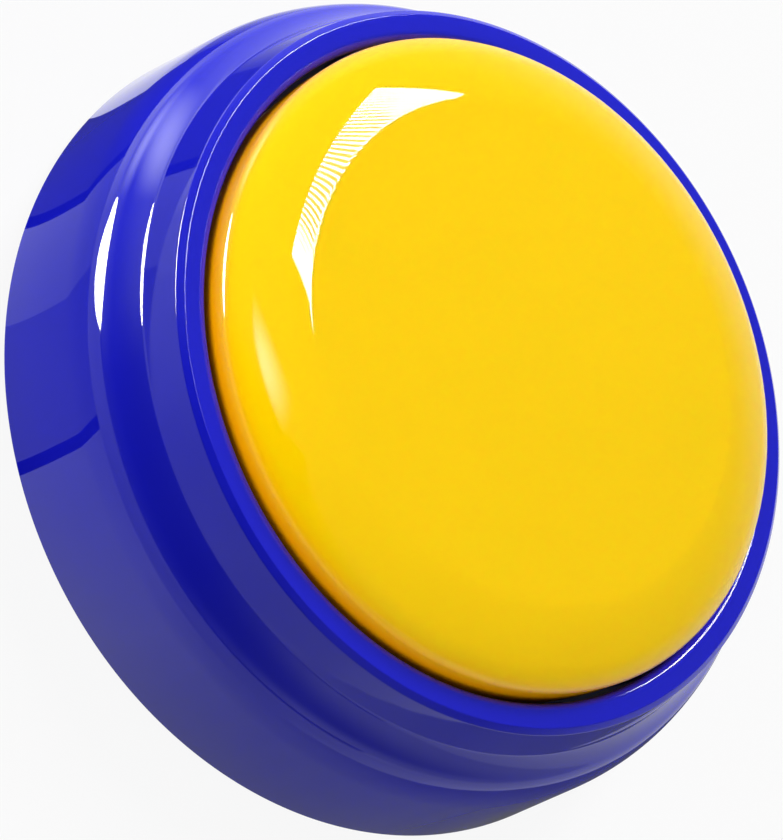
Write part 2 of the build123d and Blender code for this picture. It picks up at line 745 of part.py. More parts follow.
def battery_bridge_contact():
    """Plate across both cells at the far end, with a spring for one of them."""
    half = contact_size / 2
    plate = contact_plate(-bay_half_x, cell_ys[1] - half, cell_ys[0] + half)
    return plate + contact_spring(-bay_half_x + contact_thickness, cell_ys[0], 1)


def lead(name, points):
    """Insulated wire along straight runs joined by tangent arcs."""
    route = [Vector(*point) for point in points]
    radii = []
    for before, here, after in zip(route, route[1:], route[2:]):
        turn = (here - before).get_angle(after - here)
        run = min((here - before).length, (after - here).length)
        radii.append(0.45 * run / math.tan(math.radians(turn / 2)))
    path = FilletPolyline(*points, radius=radii)
    tube = sweep(Plane(origin=path @ 0, z_dir=path % 0) * Circle(lead_radius), path)
    print(name, "length", round(path.length, 1), "radii", [round(radius, 1) for radius in radii],
          "volume ratio", round(tube.volume / (path.length * math.pi * lead_radius ** 2), 4))
    return tube


def battery_lead_red():
    start = (bay_half_x - contact_thickness / 2, bay_y + bay_half_y + bay_wall + 1.4, cell_z)
    return lead("battery_lead_red", [start, (start[0], start[1] + 3, cell_z),
                                     (start[0] - 3.5, start[1] + 5.5, cell_z - 1.2),
                                     (start[0] - 7.5, start[1] + 7.0, cell_z - 0.6),
                                     (12.0, 4.2, board_bottom - 3.0), (12.0, 4.2, board_bottom)])


def battery_lead_black():
    start = (bay_half_x + bay_wall + 1.2, cell_ys[1], cell_z - 2.4)
    return lead("battery_lead_black", [start, (start[0] + 1.6, start[1], start[2]),
                                       (start[0] + 2.4, start[1] + 3.4, start[2] - 0.6),
                                       (start[0] + 2.2, start[1] + 9.5, start[2] - 1.0),
                                       (start[0] + 1.6, start[1] + 16.0, start[2] - 0.8),
                                       (start[0] - 0.6, start[1] + 22.5, start[2] - 0.4),
                                       (start[0] - 5.0, start[1] + 28.0, start[2]),
                                       (start[0] - 10.0, start[1] + 31.5, start[2] + 1.0),
                                       (12.0, 8.6, board_bottom - 3.4), (12.0, 8.6, board_bottom)])


def speaker_lead(name, side):
    x = 3.0 * side
    y = speaker_y - 12.4
    z = magnet_bottom + 0.9
    return lead(name, [(x, y, z), (x, y - 2.2, z), (x + 1.4 * side, y - 4.4, z + 0.2),
                       (x + 1.9 * side, y - 5.6, z + 2.2), (x + 1.9 * side, y - 5.6, board_bottom)])


def speaker_lead_red():
    return speaker_lead("speaker_lead_red", 1)


def speaker_lead_black():
    return speaker_lead("speaker_lead_black", -1)


pieces = (dome_cap, base_shell, bottom_cover, battery_door, battery_door_screw, cover_screws, rubber_feet,
          return_springs, circuit_board, board_screws, voice_chip, board_capacitor, board_resistors,
          tact_switch_body, tact_switch_stem, speaker_frame, speaker_cone, speaker_magnet,
          speaker_terminal_strip, speaker_screws, battery_cells, battery_positive_contact,
          battery_negative_contact, battery_bridge_contact, battery_lead_red, battery_lead_black,
          speaker_lead_red, speaker_lead_black)

os.makedirs("parts", exist_ok=True)
for make in pieces:
    made = make()
    shape = Compound(children=made) if isinstance(made, list) else made
    export_step(shape, f"parts/{make.__name__}.step")
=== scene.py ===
"""Looks of a round quiz buzzer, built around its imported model, in metres."""
import logging
import math
from dataclasses import dataclass, field
from enum import Enum

import bmesh
import bpy
from mathutils import Matrix, Vector


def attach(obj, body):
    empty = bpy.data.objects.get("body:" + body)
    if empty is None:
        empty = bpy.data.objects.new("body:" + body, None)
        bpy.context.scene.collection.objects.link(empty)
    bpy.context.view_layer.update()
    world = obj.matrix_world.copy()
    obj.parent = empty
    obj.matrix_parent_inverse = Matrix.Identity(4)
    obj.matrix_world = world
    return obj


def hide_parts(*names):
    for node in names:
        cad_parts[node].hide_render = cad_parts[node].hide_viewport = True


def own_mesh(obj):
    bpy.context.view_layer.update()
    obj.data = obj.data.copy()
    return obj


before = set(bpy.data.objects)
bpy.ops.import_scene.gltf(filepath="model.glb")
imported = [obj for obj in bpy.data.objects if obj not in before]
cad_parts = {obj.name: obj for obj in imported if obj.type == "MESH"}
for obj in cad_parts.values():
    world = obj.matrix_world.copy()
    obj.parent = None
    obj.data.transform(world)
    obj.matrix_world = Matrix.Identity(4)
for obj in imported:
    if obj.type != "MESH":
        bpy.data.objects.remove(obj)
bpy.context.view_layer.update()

MM = 0.001
SINK = 0.5  # millimetres that a post runs into the wall or deck behind it
POST_SIDES = 48
ROUND_STEPS = 4
LEVEL = 1e-6  # millimetres within which an edge's ends are at one height
LOG = logging.getLogger("buzzer")

Colour = tuple[float, float, float]
Point = tuple[float, float]
Socket = bpy.types.NodeSocket


def cosd(angle: float) -> float:
    """Cosine of an angle in degrees."""
    return math.cos(math.radians(angle))


def sind(angle: float) -> float:
    """Sine of an angle in degrees."""
    return math.sin(math.radians(angle))


def spot(radius: float, angle: float) -> Point:
    """Point at a radius and an angle in degrees."""
    return radius * cosd(angle), radius * sind(angle)


def heading(azimuth: float, elevation: float) -> Vector:
    """Unit vector towards an azimuth and elevation in degrees."""
    return Vector((*spot(cosd(elevation), azimuth), sind(elevation)))


class Body(Enum):
    """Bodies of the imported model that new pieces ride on."""
    BASE = "base"
    CAP = "cap"


class Shade(Enum):
    """How a lamp's face is lit."""
    EVEN = "the same all over"
    SLATS = "through level slats, clear at the top"
    SOFT = "bright in the middle, fading to its edges"


class Outline(Enum):
    """Outline of a lamp's face."""
    PANE = "RECTANGLE"
    OVAL = "ELLIPSE"


class Seen(Enum):
    """What a lamp lights."""
    ALL = "all"
    SHEEN = "only the gloss"
    FILL = "only the colour under the gloss"


# ---------------------------------------------------------------- finishes


class Wiring:
    """Short way to wire a node tree."""

    def __init__(self, tree: bpy.types.NodeTree) -> None:
        """Takes the tree."""
        self.tree = tree

    def add(self, kind: str, links: dict[int | str, Socket], **values: object) -> bpy.types.Node:
        """Adds a node.

        Args:
            kind: Blender's name of the node, without its ShaderNode.
            links: sockets that feed its inputs, by input name or number.
            values: its own properties, or input values under their names with _ for spaces.

        Returns:
            The node.
        """
        node = self.tree.nodes.new("ShaderNode" + kind)
        for name, value in values.items():
            if hasattr(node, name):
                setattr(node, name, value)
            else:
                node.inputs[name.replace("_", " ")].default_value = value
        for name, socket in links.items():
            self.tree.links.new(socket, node.inputs[name])
        return node

    def maths(self, operation: str, first: Socket | float, second: Socket | float = 0.0) -> Socket:
        """Adds a Math node on sockets or numbers.

        Args:
            operation: Blender's name of the operation.
            first: its first input.
            second: its second input.

        Returns:
            The result's socket.
        """
        node = self.add("Math", {}, operation=operation)
        for place, item in zip(node.inputs, (first, second)):
            if isinstance(item, (int, float)):
                place.default_value = item
            else:
                self.tree.links.new(item, place)
        return node.outputs[0]


class Nodes(Wiring):
    """Wiring of a material, with its shader and its object coordinates."""

    def __init__(self, material: bpy.types.Material) -> None:
        """Clears the material and starts its wiring.

        Args:
            material: the material.
        """
        material.use_nodes = True
        super().__init__(material.node_tree)
        self.tree.nodes.clear()
        self.shader = self.add("BsdfPrincipled", {})
        self.output = self.add("OutputMaterial", {"Surface": self.shader.outputs["BSDF"]})
        self.place = self.add("TexCoord", {}).outputs["Object"]

    def noise(self, scale: float, detail: float = 3.0, stretch: Colour = (1, 1, 1)) -> Socket:
        """Noise over the object.

        Args:
            scale: features to a metre.
            detail: octaves.
            stretch: scale along each axis, for a grain.

        Returns:
            Its value socket.
        """
        turned = self.add("Mapping", {"Vector": self.place}, Scale=stretch).outputs[0]
        return self.add("TexNoise", {"Vector": turned}, Scale=scale, Detail=detail).outputs[0]

    def span(self, value: Socket, low: float, high: float,
             start: float = 0.3, end: float = 0.7) -> Socket:
        """Value spread between two levels.

        Args:
            value: socket to spread.
            low: level at start.
            high: level at end.
            start: value that gives the low level.
            end: value that gives the high level.

        Returns:
            The spread value's socket.
        """
        return self.add("MapRange", {"Value": value}, From_Min=start, From_Max=end,
                        To_Min=low, To_Max=high).outputs[0]

    def blend(self, factor: Socket, first: Colour | Socket, second: Colour | Socket) -> Socket:
        """Colour between two colours.

        Args:
            factor: socket of the share of the second.
            first: linear colour, or its socket, at 0.
            second: linear colour, or its socket, at 1.

        Returns:
            The colour's socket.
        """
        node = self.add("Mix", {0: factor}, data_type="RGBA")
        for place, item in zip(node.inputs[6:8], (first, second)):
            if isinstance(item, tuple):
                place.default_value = (*item, 1)
            else:
                self.tree.links.new(item, place)
        return node.outputs[2]

    def feed(self, name: str, socket: Socket) -> None:
        """Links a socket to one of the shader's inputs."""
        self.tree.links.new(socket, self.shader.inputs[name])

    def relief(self, height: Socket, depth: float) -> None:
        """Gives the surface a relief of a depth in metres, from a height of 0 to 1."""
        bump = self.add("Bump", {"Height": height}, Strength=1.0, Distance=depth)
        self.feed("Normal", bump.outputs[0])


@dataclass(frozen=True)
class Finish:
    """Base of the finishes: a moulded plastic with a faint mottle."""
    name: str
    colour: Colour
    second: Colour
    roughness: float = 0.4
    metallic: float = 0.0
    index: float = 1.5
    mottle: float = 90.0
    grain: float = 2500.0
    depth: float = 0.00002
    spread: float = 0.06

    def settle(self, nodes: Nodes) -> None:
        """Sets the numbers that are the same all over."""
        nodes.shader.inputs["Metallic"].default_value = self.metallic
        nodes.shader.inputs["IOR"].default_value = self.index

    def mottled(self, nodes: Nodes) -> Socket:
        """Colour that drifts between the finish's two colours."""
        return nodes.blend(nodes.span(nodes.noise(self.mottle), 0, 1), self.colour, self.second)

    def dull(self, nodes: Nodes, pattern: Socket) -> None:
        """Lets the roughness follow a pattern."""
        nodes.feed("Roughness", nodes.span(pattern, self.roughness, self.roughness + self.spread))

    def paint(self, nodes: Nodes) -> None:
        """Wires the colour, the roughness and the relief.

        Args:
            nodes: the material's wiring.
        """
        nodes.feed("Base Color", self.mottled(nodes))
        fine = nodes.noise(self.grain, 2.0)
        self.dull(nodes, fine)
        nodes.relief(fine, self.depth)

    def make(self) -> bpy.types.Material:
        """Makes the material.

        Returns:
            The material.
        """
        material = bpy.data.materials.new(self.name)
        nodes = Nodes(material)
        self.settle(nodes)
        self.paint(nodes)
        return material


@dataclass(frozen=True)
class Gloss(Finish):
    """Polished moulded plastic: dense colour, faint flow marks and hairline wear."""
    glow: Colour = (1, 1, 1)
    glow_share: float = 0.0
    glow_depth: float = 0.001
    wear: float = 0.02
    hair_grain: Colour = (1, 0.08, 0.3)
    hair_from: float = 0.55
    hair_to: float = 0.75
    marks: float = 4.0
    flow: float = 2.2
    # painted shade and glow: a deeper colour below a height, for a skirt that sits in shade and
    # glows through
    edge: Colour | None = None
    painted_glow_bottom: float = 0.0
    painted_glow_top: float = 1.0

    def settle(self, nodes: Nodes) -> None:
        """Sets the numbers that are the same all over, the glow under the surface among them.

        Args:
            nodes: the material's wiring.
        """
        super().settle(nodes)
        nodes.shader.inputs["Subsurface Weight"].default_value = self.glow_share
        nodes.shader.inputs["Subsurface Radius"].default_value = self.glow
        nodes.shader.inputs["Subsurface Scale"].default_value = self.glow_depth

    def paint(self, nodes: Nodes) -> None:
        """Wires the mottle, a low edge's painted shade and glow, the hairlines and the flow marks.

        Args:
            nodes: the material's wiring.
        """
        tone = self.mottled(nodes)
        # painted shade and glow: the deeper colour fills the part below the lower height and fades
        # out by the upper one
        if self.edge:
            height = nodes.add("SeparateXYZ", {"Vector": nodes.place}).outputs[2]
            tone = nodes.blend(nodes.span(height, 0, 1, self.painted_glow_bottom, self.painted_glow_top),
                               self.edge, tone)
        nodes.feed("Base Color", tone)
        hairs = nodes.span(nodes.noise(self.grain, 4.0, self.hair_grain), self.roughness,
                           self.roughness + self.wear, self.hair_from, self.hair_to)
        marks = nodes.span(nodes.noise(self.mottle * self.marks, 2.0), 0, self.wear / 2)
        nodes.feed("Roughness", nodes.maths("ADD", hairs, marks))
        nodes.relief(nodes.noise(self.mottle * self.flow, 1.0), self.depth)


@dataclass(frozen=True)
class Metal(Finish):
    """Plated or bare metal with a fine drawn grain."""
    metallic: float = 1.0
    stretch: Colour = (1, 1, 0.15)

    def paint(self, nodes: Nodes) -> None:
        """Wires the dulling and the grain.

        Args:
            nodes: the material's wiring.
        """
        nodes.feed("Base Color", self.mottled(nodes))
        grain = nodes.noise(self.grain, 3.0, self.stretch)
        self.dull(nodes, grain)
        nodes.relief(grain, self.depth)


@dataclass(frozen=True)
class Spark(Finish):
    """Moulded plastic with an even spark-eroded texture."""
    pit_low: float = 0.3
    pit_high: float = 1.2

    def paint(self, nodes: Nodes) -> None:
        """Wires the mottle and the pitted texture.

        Args:
            nodes: the material's wiring.
        """
        nodes.feed("Base Color", self.mottled(nodes))
        cells = nodes.add("TexVoronoi", {"Vector": nodes.place}, Scale=self.grain)
        pits = nodes.maths("ADD", cells.outputs["Distance"], nodes.noise(self.grain / 2))
        nodes.feed("Roughness", nodes.span(pits, self.roughness + self.spread, self.roughness,
                                           self.pit_low, self.pit_high))
        nodes.relief(pits, self.depth)


@dataclass(frozen=True)
class Laminate(Finish):
    """Circuit board: solder mask over narrow tracks, with a woven core."""
    pitch: float = 0.0024
    track: float = 0.22
    wander: float = 0.02
    wander_scale: float = 60.0
    run_scale: float = 220.0
    upright_from: float = 0.5
    level_to: float = 0.44
    weave: float = 0.2

    def paint(self, nodes: Nodes) -> None:
        """Wires the tracks, the weave and the mask's gloss.

        Args:
            nodes: the material's wiring.
        """
        drift = nodes.maths("MULTIPLY", nodes.noise(self.wander_scale, 1.0), self.wander)
        parts = nodes.add("SeparateXYZ", {"Vector": nodes.place})
        runs = nodes.noise(self.run_scale, 0.0)
        sets = []
        for axis, operation, level in ((0, "GREATER_THAN", self.upright_from),
                                       (1, "LESS_THAN", self.level_to)):
            moved = nodes.maths("ADD", parts.outputs[axis], drift)
            line = nodes.maths("FRACT", nodes.maths("DIVIDE", moved, self.pitch))
            sets.append(nodes.maths("MULTIPLY", nodes.maths("LESS_THAN", line, self.track),
                                    nodes.maths(operation, runs, level)))
        tracks = nodes.maths("MAXIMUM", *sets)
        nodes.feed("Base Color", nodes.blend(tracks, self.colour, self.second))
        weave = nodes.noise(self.grain, 1.0)
        self.dull(nodes, weave)
        nodes.relief(nodes.maths("ADD", tracks, nodes.maths("MULTIPLY", weave, self.weave)),
                     self.depth)


@dataclass(frozen=True)
class Sleeve(Finish):
    """Printed jackets of two dry cells head to tail: a bright band at one end, and bare ends."""
    row: float = 0.019
    band_start: float = 0.011
    band_metallic: float = 0.6
    end: float = 0.0205
    band: Colour = (0.60, 0.28, 0.10)
    bare: Colour = (0.55, 0.55, 0.56)

    def paint(self, nodes: Nodes) -> None:
        """Wires the jacket, its band and the bare metal past its ends.

        Args:
            nodes: the material's wiring.
        """
        x, y = nodes.add("SeparateXYZ", {"Vector": nodes.place}).outputs[:2]
        side = nodes.maths("SIGN", nodes.maths("ADD", y, self.row))
        banded = nodes.maths("GREATER_THAN", nodes.maths("MULTIPLY", x, side), self.band_start)
        past = nodes.maths("GREATER_THAN", nodes.maths("ABSOLUTE", x), self.end)
        jacket = nodes.blend(nodes.noise(self.mottle), self.colour, self.second)
        jacket = nodes.blend(banded, jacket, self.band)
        nodes.feed("Base Color", nodes.blend(past, jacket, self.bare))
        foil = nodes.maths("MULTIPLY", banded, self.band_metallic)
        nodes.feed("Metallic", nodes.maths("MAXIMUM", foil, past))
        fine = nodes.noise(self.grain)
        self.dull(nodes, fine)
        nodes.relief(fine, self.depth)


@dataclass(frozen=True)
class Paper(Finish):
    """Pressed paper cone with fibres and rings."""
    rings: float = 0.0011
    ring_share: float = 0.4
    middle: float = 0.022

    def paint(self, nodes: Nodes) -> None:
        """Wires the fibres and the rings round the cone's middle.

        Args:
            nodes: the material's wiring.
        """
        moved = nodes.add("Mapping", {"Vector": nodes.place}, Location=(0, -self.middle, 0),
                          Scale=(1, 1, 0)).outputs[0]
        reach = nodes.add("VectorMath", {"Vector": moved}, operation="LENGTH").outputs["Value"]
        ring = nodes.maths("SINE", nodes.maths("DIVIDE", reach, self.rings / math.tau))
        fibres = nodes.noise(self.grain, 6.0)
        nodes.feed("Base Color", nodes.blend(nodes.span(fibres, 0, 1), self.colour, self.second))
        nodes.shader.inputs["Roughness"].default_value = self.roughness
        nodes.relief(nodes.maths("ADD", fibres, nodes.maths("MULTIPLY", ring, self.ring_share)),
                     self.depth)


# The cap's deeper orange, full below 25.5 mm and fading out by 28.2 mm, is painted shade and glow
# on the skirt and rim.
YELLOW = Gloss("yellow cap plastic", (0.820, 0.532, 0.0), (0.808, 0.520, 0.0), 0.012,
               depth=0.000001, mottle=55.0, index=1.42, glow=(1.0, 0.5, 0.02), glow_share=0.3,
               glow_depth=0.0015, wear=0.012, edge=(0.92, 0.36, 0.0), painted_glow_bottom=0.0255,
               painted_glow_top=0.0282)
BLUE = Gloss("blue shell plastic", (0.008, 0.010, 0.56), (0.009, 0.012, 0.53), 0.03,
             depth=0.000001, mottle=50.0, glow=(0.1, 0.1, 1.0), wear=0.02)
COVER = Spark("blue cover plastic", (0.007, 0.008, 0.36), (0.009, 0.010, 0.33), 0.42,
              grain=2600.0, depth=0.00004, spread=0.12)
ZINC = Metal("zinc plated screw", (0.62, 0.62, 0.60), (0.50, 0.50, 0.49), 0.24,
             spread=0.16, depth=0.000008)
RUBBER = Finish("black rubber", (0.014, 0.014, 0.015), (0.024, 0.023, 0.022), 0.72,
                grain=3200.0, depth=0.00005, spread=0.15)
SPRING = Metal("spring steel wire", (0.46, 0.46, 0.47), (0.36, 0.36, 0.37), 0.22,
               depth=0.000006)
LAMINATE = Laminate("circuit board", (0.006, 0.085, 0.022), (0.020, 0.170, 0.050), 0.22,
                    depth=0.00004)
RESIN = Finish("black resin", (0.008, 0.008, 0.009), (0.014, 0.014, 0.015), 0.16,
               grain=700.0, depth=0.00003)
CAN = Finish("capacitor sleeve", (0.012, 0.014, 0.030), (0.020, 0.023, 0.045), 0.30,
             grain=1200.0, depth=0.00002)
SWITCH = Finish("black switch plastic", (0.015, 0.015, 0.016), (0.022, 0.022, 0.022), 0.42,
                depth=0.00003)
STEM = Finish("white stem plastic", (0.72, 0.71, 0.67), (0.66, 0.65, 0.60), 0.36,
              depth=0.00002)
BASKET = Metal("speaker basket steel", (0.50, 0.51, 0.52), (0.38, 0.39, 0.40), 0.32,
               stretch=(1, 1, 1), grain=1500.0, depth=0.00001)
CONE = Paper("speaker paper", (0.030, 0.028, 0.026), (0.055, 0.052, 0.047), 0.86,
             grain=2200.0, depth=0.00008)
MAGNET = Metal("magnet back plate", (0.42, 0.42, 0.43), (0.30, 0.30, 0.31), 0.28,
               grain=1100.0, depth=0.00001)
CELL = Sleeve("cell jacket", (0.012, 0.012, 0.014), (0.018, 0.018, 0.020), 0.22,
              depth=0.000006)
CONTACT = Metal("nickel contact", (0.66, 0.63, 0.55), (0.54, 0.51, 0.44), 0.20,
                grain=1600.0, depth=0.000008)
RED = Finish("red wire", (0.50, 0.012, 0.010), (0.42, 0.010, 0.009), 0.36, depth=0.00002)
BLACK = Finish("black wire", (0.012, 0.012, 0.012), (0.020, 0.020, 0.020), 0.38,
               depth=0.00002)


# ---------------------------------------------------------------- shapes


class Pen:
    """Draws a section in radius and height, in millimetres, as a chain of edges."""
    drawn_merge = 1e-5
    turned_merge = 1e-4

    def __init__(self, start: Point) -> None:
        """Puts the pen down."""
        self.mesh = bmesh.new()
        self.here = self.mesh.verts.new((start[0], 0, start[1]))

    def to(self, point: Point) -> None:
        """Draws a straight line to a point."""
        self.here = bmesh.ops.extrude_vert_indiv(self.mesh, verts=[self.here])["verts"][0]
        self.here.co = (point[0], 0, point[1])

    def bend(self, radius: float, turn_from: float, turn_to: float, steps: int) -> None:
        """Draws a tangent arc.

        Args:
            radius: radius of the arc.
            turn_from: elevation of the outward normal at its start, in degrees.
            turn_to: elevation at its end; a smaller one makes a hollow arc.
            steps: edges in it.
        """
        side = math.copysign(radius, turn_to - turn_from)
        centre = self.here.co - side * Vector((cosd(turn_from), 0, sind(turn_from)))
        made = bmesh.ops.spin(self.mesh, geom=[self.here], cent=centre, axis=(0, -1, 0),
                              dvec=(0, 0, 0), angle=math.radians(turn_to - turn_from),
                              space=Matrix(), steps=steps)
        self.here = next(item for item in made["geom_last"]
                         if isinstance(item, bmesh.types.BMVert))

    def corner(self, point: Point, radius: float, turn_from: float, turn_to: float,
               steps: int = 8) -> None:
        """Draws a line towards a corner and rounds it.

        Args:
            point: the sharp corner.
            radius: radius of the round.
            turn_from: elevation of the normal before the corner, in degrees.
            turn_to: elevation after it.
            steps: edges in the round.
        """
        back = radius * math.tan(math.radians(abs(turn_to - turn_from) / 2))
        self.to((point[0] + back * sind(turn_from), point[1] - back * cosd(turn_from)))
        self.bend(radius, turn_from, turn_to, steps)

    @property
    def point(self) -> Point:
        """Where the pen is."""
        return self.here.co.x, self.here.co.z

    def turn(self, segments: int) -> bmesh.types.BMesh:
        """Closes the section and turns it into a solid of revolution.

        Args:
            segments: steps round the axis.

        Returns:
            The closed mesh, in millimetres.
        """
        mesh = self.mesh
        bmesh.ops.remove_doubles(mesh, verts=mesh.verts[:], dist=self.drawn_merge)
        bmesh.ops.spin(mesh, geom=mesh.verts[:] + mesh.edges[:], cent=(0, 0, 0), axis=(0, 0, 1),
                       dvec=(0, 0, 0), angle=math.tau, space=Matrix(), steps=segments,
                       use_merge=True)
        bmesh.ops.remove_doubles(mesh, verts=mesh.verts[:], dist=self.turned_merge)
        bmesh.ops.recalc_face_normals(mesh, faces=mesh.faces[:])
        return mesh


def inset(point: Point, angle: float, depth: float) -> Point:
    """Point below a surface whose normal has this elevation."""
    return point[0] - depth * cosd(angle), point[1] - depth * sind(angle)


def placed(mesh: bmesh.types.BMesh, parts: list, matrix: Matrix) -> None:
    """Moves some vertices of a mesh."""
    bmesh.ops.transform(mesh, matrix=matrix, space=Matrix(), verts=parts)


def add_block(mesh: bmesh.types.BMesh, x: Point, y: Point, z: Point, turn: float = 0.0) -> list:
    """Adds a box between pairs of limits.

    Args:
        mesh: mesh that takes it.
        x: limits along X.
        y: limits along Y.
        z: limits along Z.
        turn: degrees that it is turned about the Z axis.

    Returns:
        Its vertices.
    """
    made = bmesh.ops.create_cube(mesh, size=1)["verts"]
    size = Matrix.Diagonal((x[1] - x[0], y[1] - y[0], z[1] - z[0], 1))
    middle = Matrix.Translation(((x[0] + x[1]) / 2, (y[0] + y[1]) / 2, (z[0] + z[1]) / 2))
    placed(mesh, made, Matrix.Rotation(math.radians(turn), 4, "Z") @ middle @ size)
    return made


def add_post(mesh: bmesh.types.BMesh, centre: Point, radius: float, z: Point,
             soft: float = 0.0) -> None:
    """Adds an upright round post.

    Args:
        mesh: mesh that takes it.
        centre: its axis.
        radius: its radius.
        z: its lower and upper ends.
        soft: radius of the round at its ends.
    """
    made = bmesh.ops.create_cone(mesh, cap_ends=True, segments=POST_SIDES, radius1=radius,
                                 radius2=radius, depth=z[1] - z[0])["verts"]
    placed(mesh, made, Matrix.Translation((*centre, (z[0] + z[1]) / 2)))
    if soft:
        rims = {edge for vert in made for edge in vert.link_edges
                if abs(edge.verts[0].co.z - edge.verts[1].co.z) < LEVEL}
        bmesh.ops.bevel(mesh, geom=list(rims), offset=soft, affect="EDGES",
                        segments=ROUND_STEPS, profile=0.5, material=-1)


def mesh_data(name: str, mesh: bmesh.types.BMesh) -> bpy.types.Mesh:
    """Turns a mesh, which is freed, into Blender's mesh data.

    Args:
        name: the data's name.
        mesh: the mesh.

    Returns:
        The data.
    """
    data = bpy.data.meshes.new(name)
    mesh.to_mesh(data)
    mesh.free()
    return data


def in_scene(name: str, data: bpy.types.ID) -> bpy.types.Object:
    """Makes an object of some data and puts it in the scene.

    Args:
        name: the object's name.
        data: its mesh, lamp or camera.

    Returns:
        The object.
    """
    thing = bpy.data.objects.new(name, data)
    bpy.context.scene.collection.objects.link(thing)
    return thing


def finish_piece(name: str, mesh: bmesh.types.BMesh, material: bpy.types.Material,
                 crease: float = 26.0) -> bpy.types.Object:
    """Turns a mesh in millimetres into a piece in metres.

    Args:
        name: the piece's name.
        mesh: its mesh, which is freed.
        material: its finish.
        crease: degrees past which an edge stays sharp.

    Returns:
        The object, at the origin.
    """
    bmesh.ops.recalc_face_normals(mesh, faces=mesh.faces[:])
    bmesh.ops.scale(mesh, vec=(MM, MM, MM), verts=mesh.verts[:])
    for face in mesh.faces:
        face.smooth = True
    data = mesh_data(name, mesh)
    data.set_sharp_from_angle(angle=math.radians(crease))
    data.materials.append(material)
    return in_scene(name, data)


def cut_away(piece: bpy.types.Object, tool: bmesh.types.BMesh) -> None:
    """Cuts a tool's shape out of a piece.

    Args:
        piece: the piece.
        tool: the tool's mesh, in millimetres, which is freed.
    """
    bmesh.ops.scale(tool, vec=(MM, MM, MM), verts=tool.verts[:])
    data = mesh_data("cutter", tool)
    cutter = in_scene("cutter", data)
    step = piece.modifiers.new("slots", "BOOLEAN")
    step.operation, step.solver, step.object = "DIFFERENCE", "EXACT", cutter
    bpy.context.view_layer.update()
    graph = bpy.context.evaluated_depsgraph_get()
    whole = bpy.data.meshes.new_from_object(piece.evaluated_get(graph))
    piece.modifiers.clear()
    old, piece.data = piece.data, whole
    whole.name = piece.name
    bpy.data.meshes.remove(old)
    bpy.data.objects.remove(cutter)
    bpy.data.meshes.remove(data)


def hand_over(piece: bpy.types.Object, body: Body, slot: str, *nodes: str) -> None:
    """Puts a piece on its body in place of its CAD nodes.

    Args:
        piece: the finished piece.
        body: the body it rides on.
        slot: not used.
        nodes: CAD nodes that it replaces.
    """
    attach(piece, body.value)
    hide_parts(*nodes)
    LOG.info("%s: %d faces", piece.name, len(piece.data.polygons))


# ---------------------------------------------------------------- sub-assemblies


@dataclass
class Levels:
    """Heights and radii that several sub-assemblies share, in millimetres."""
    foot_stand: float = 1.0
    foot_radius: float = 45.0
    lip: float = 25.24
    well_radius: float = 35.9
    deck_low: float = 15.5
    deck_high: float = 17.5
    travel: float = 3.0
    spring_circle: float = 22.0
    peg_radius: float = 1.8
    leg_angles: tuple[float, ...] = (90.0, 210.0, 330.0)
    spring_angles: tuple[float, ...] = (45.0, 135.0, 225.0, 315.0)
    around: int = 288


